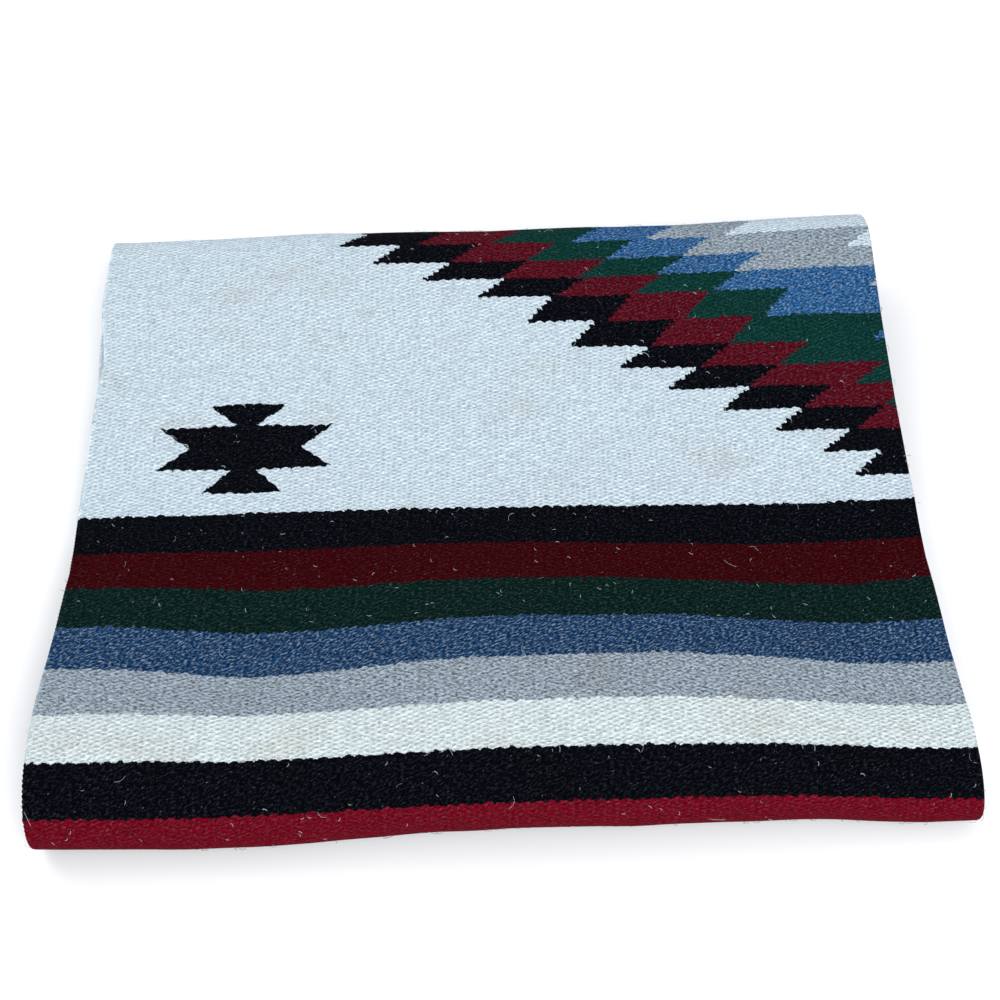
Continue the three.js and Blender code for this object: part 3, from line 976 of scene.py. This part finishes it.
@dataclass
class HairCoat:
    """Curved hairs scattered over a piece of cloth.

    Args:
        name: The piece's name.
        count: Hairs to a square metre of cloth.
        length: Of a hair, in metres.
        radius: Of a hair, in metres.
        rise: How far its middle stands up, as a part of its length.
        seed: For where they lie.
    """

    name: str
    count: float
    length: float
    radius: float
    rise: float
    seed: int

    def build(self, cloth: bpy.types.Object, material: bpy.types.Material) -> bpy.types.Object:
        """Grows the hairs on the side of the cloth that faces up and out."""
        kit = Kit(self.name, {"Count": self.count, "Length": self.length, "Radius": self.radius, "Rise": self.rise, "Seed": self.seed})
        normal = kit.node("GeometryNodeInputNormal")
        place = kit.node("GeometryNodeInputPosition")
        height = kit.node("ShaderNodeSeparateXYZ", {0: place.outputs[0]})
        facing = kit.node("ShaderNodeSeparateXYZ", {0: normal.outputs[0]})
        up = kit.node("ShaderNodeMath", {0: facing.outputs[2], 1: -0.35}, operation="GREATER_THAN")
        high = kit.node("ShaderNodeMath", {0: height.outputs[2], 1: 0.012}, operation="GREATER_THAN")
        both = kit.node("ShaderNodeMath", {0: up.outputs[0], 1: high.outputs[0]}, operation="MULTIPLY")
        density = kit.node("ShaderNodeMath", {0: both.outputs[0], 1: kit.value("Count")}, operation="MULTIPLY")
        points = kit.node(
            "GeometryNodeDistributePointsOnFaces",
            {"Mesh": kit.input.outputs[0], "Density": density.outputs[0], "Seed": kit.value("Seed")},
        )
        reach = kit.node("ShaderNodeCombineXYZ", {0: kit.value("Length")})
        bow_height = kit.node("ShaderNodeMath", {0: kit.value("Length"), 1: kit.value("Rise")}, operation="MULTIPLY")
        half = kit.node("ShaderNodeMath", {0: kit.value("Length"), 1: 0.4}, operation="MULTIPLY")
        bow = kit.node("ShaderNodeCombineXYZ", {0: half.outputs[0], 1: half.outputs[0], 2: bow_height.outputs[0]})
        line = kit.node(
            "GeometryNodeCurveQuadraticBezier",
            {"Resolution": 4, "Start": (0.0, 0.0, 0.0), "Middle": bow.outputs[0], "End": reach.outputs[0]},
        )
        ring = kit.node("GeometryNodeCurvePrimitiveCircle", {"Resolution": 3, "Radius": kit.value("Radius")})
        hair = kit.node(
            "GeometryNodeCurveToMesh",
            {"Curve": line.outputs[0], "Profile Curve": ring.outputs[0], "Fill Caps": True},
        )
        spin = kit.node("FunctionNodeRandomValue", {2: 0.0, 3: math.tau, "Seed": kit.value("Seed")}, data_type="FLOAT")
        size = kit.node("FunctionNodeRandomValue", {2: 0.45, 3: 1.35, "Seed": kit.value("Seed")}, data_type="FLOAT")
        placed = kit.node(
            "GeometryNodeInstanceOnPoints",
            {
                "Points": points.outputs["Points"],
                "Instance": hair.outputs[0],
                "Rotation": points.outputs["Rotation"],
                "Scale": size.outputs[1],
            },
        )
        turn = kit.node("ShaderNodeCombineXYZ", {2: spin.outputs[1]})
        spun = kit.node("GeometryNodeRotateInstances", {"Instances": placed.outputs[0], "Rotation": turn.outputs[0]})
        kit.finish(spun.outputs[0], material)
        return kit.run(cloth, self.name)


@dataclass
class SelvedgeLoops:
    """The turns of weft round the outermost warp, a row of small loops along a woven edge."""

    name: str
    pitch: float = 3.2 * MM
    size: tuple[float, float, float] = (1.7, 1.5, 2.1)

    def build(self, edges: list[tuple[Array, Array]], material: bpy.types.Material) -> bpy.types.Object:
        """Lays the loops along edge lines.

        Args:
            edges: For each edge, its points in metres and their cloth coordinates.
            material: The cloth's.
        """
        points = np.concatenate([line for line, _ in edges])
        coordinates = np.concatenate([uv for _, uv in edges])
        starts = np.cumsum([0] + [len(line) for line, _ in edges])
        joins = [(i, i + 1) for a, b in zip(starts, starts[1:]) for i in range(a, b - 1)]
        mesh = bpy.data.meshes.new(self.name)
        mesh.from_pydata(points.tolist(), joins, [])
        stored = mesh.attributes.new(CLOTH_UV, "FLOAT_VECTOR", "POINT")
        stored.data.foreach_set("vector", np.pad(coordinates, ((0, 0), (0, 1))).astype(np.float32).ravel())
        carrier = bpy.data.objects.new(self.name + " line", mesh)
        bpy.context.scene.collection.objects.link(carrier)
        kit = Kit(self.name, {"Pitch": self.pitch})
        curve = kit.node("GeometryNodeMeshToCurve", {"Mesh": kit.input.outputs[0]})
        even = kit.node(
            "GeometryNodeResampleCurve", {"Curve": curve.outputs[0], "Length": kit.value("Pitch")}, mode="LENGTH"
        )
        marks = kit.node("GeometryNodeCurveToPoints", {"Curve": even.outputs[0]}, mode="EVALUATED")
        loop = kit.node("GeometryNodeMeshUVSphere", {"Segments": 8, "Rings": 6, "Radius": MM})
        placed = kit.node(
            "GeometryNodeInstanceOnPoints",
            {
                "Points": marks.outputs["Points"],
                "Instance": loop.outputs[0],
                "Rotation": marks.outputs["Rotation"],
                "Scale": self.size,
            },
        )
        kit.finish(placed.outputs[0], material)
        made = kit.run(carrier, self.name)
        bpy.data.objects.remove(carrier)
        made.data.shade_smooth()
        return made


# ---- the scene ----------------------------------------------------------------------------


@dataclass
class Studio:
    """Pale floor, soft lamps and the camera."""

    floor_size: float = 6.0
    camera_place: tuple[float, float, float] = (-0.0184, -0.6199, 0.9145)
    camera_turn: tuple[float, float, float] = (35.0, 0.0, -2.0)
    focal_length: float = 54.0

    def build(self) -> None:
        """Lays the floor and sets the lamps and the camera."""
        half = self.floor_size / 2
        mesh = bpy.data.meshes.new("floor")
        mesh.from_pydata([(-half, -half, 0), (half, -half, 0), (half, half, 0), (-half, half, 0)], [], [(0, 1, 2, 3)])
        floor = bpy.data.objects.new("floor", mesh)
        bpy.context.scene.collection.objects.link(floor)
        paint = bpy.data.materials.new("pale floor")
        paint.use_nodes = True
        surface = paint.node_tree.nodes["Principled BSDF"]
        surface.inputs["Base Color"].default_value = (0.86, 0.86, 0.87, 1)
        surface.inputs["Roughness"].default_value = 0.9
        mesh.materials.append(paint)
        self._lamp("key", (0.7, -1.7, 2.1), 1.6, 60.0)
        self._lamp("fill", (-1.3, 1.1, 1.8), 1.8, 24.0)
        world = bpy.data.worlds.new("studio")
        world.use_nodes = True
        world.node_tree.nodes["Background"].inputs[0].default_value = (0.95, 0.97, 1.0, 1)
        world.node_tree.nodes["Background"].inputs[1].default_value = 0.68
        bpy.context.scene.world = world
        lens = bpy.data.cameras.new("camera")
        lens.lens = self.focal_length
        lens.sensor_width = 36.0
        camera = bpy.data.objects.new("camera", lens)
        camera.location = self.camera_place
        camera.rotation_euler = [math.radians(angle) for angle in self.camera_turn]
        bpy.context.scene.collection.objects.link(camera)
        bpy.context.scene.camera = camera
        bpy.context.scene.view_settings.view_transform = "Standard"

    def _lamp(self, name: str, place: tuple[float, float, float], size: float, power: float) -> None:
        """Hangs a soft square lamp aimed at the packet."""
        light = bpy.data.lights.new(name, "AREA")
        light.size = size
        light.energy = power
        lamp = bpy.data.objects.new(name, light)
        lamp.location = place
        lamp.rotation_euler = (Vector((0, 0, 0.03)) - Vector(place)).to_track_quat("-Z", "Y").to_euler()
        bpy.context.scene.collection.objects.link(lamp)


def corners(pair: tuple[Vector, Vector]) -> list[list[float]]:
    """Bounds as plain lists."""
    return [list(corner) for corner in pair]


def main() -> None:
    """Builds the folded serape and its scene."""
    logging.basicConfig(level=logging.INFO, format="%(message)s")
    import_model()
    surface = PacketSurface(PacketForm())
    outside = WovenWool("woven wool").build()
    inside = WovenWool("inner wool").build()
    hair_finish = LooseHair().build()
    run = WebRun("outer_web", 0.0, 2.9, 0.0, RightEdge.DOUBLED, 0.0)
    outer = run.build(surface)
    folds = [
        InnerFold("upper_fold", 1.0, 0.72, (6, 2), 5.0, 26, 0.12),
        InnerFold("lower_fold", 0.40, 0.0, (-6, 4), 3.0, 20, 0.05),
    ]
    inner_run = WebRun("inner_web", 3.1, 2.9, 3.0, RightEdge.BUTTED, 9.0)
    inner = inner_run.build(surface)
    core = Core(surface)
    layers = [inner, *(fold.build(core) for fold in folds)]
    nap = HairCoat("nap_hairs", 9000.0, 5.5 * MM, 0.09 * MM, 0.34, 3).build(outer, outside)
    lint = HairCoat("lint", 1500.0, 2.4 * MM, 0.12 * MM, 0.20, 8).build(outer, hair_finish)
    kemp = HairCoat("kemp_hairs", 160.0, 8.0 * MM, 0.08 * MM, 0.25, 5).build(outer, hair_finish)
    outer_loops = SelvedgeLoops("selvedge_outer").build(run.edges, outside)
    inner_loops = SelvedgeLoops("selvedge_inner").build([edge for layer in (inner_run, *folds) for edge in layer.edges], inside)
    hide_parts("face_web")
    outer.data.materials.append(outside)
    for piece in (outer, nap, lint, kemp, outer_loops):
        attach(piece, BODY)
    for layer in (*layers, inner_loops):
        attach(layer, BODY)
    for layer in layers:
        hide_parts("folded_layers")
        layer.data.materials.append(inside)
    for piece in (outer, nap, lint, kemp, outer_loops, *layers, inner_loops):
        LOG.info("%s: %d vertices, %d faces", piece.name, len(piece.data.vertices), len(piece.data.polygons))
    Studio().build()


if __name__ == "__main__":
    main()
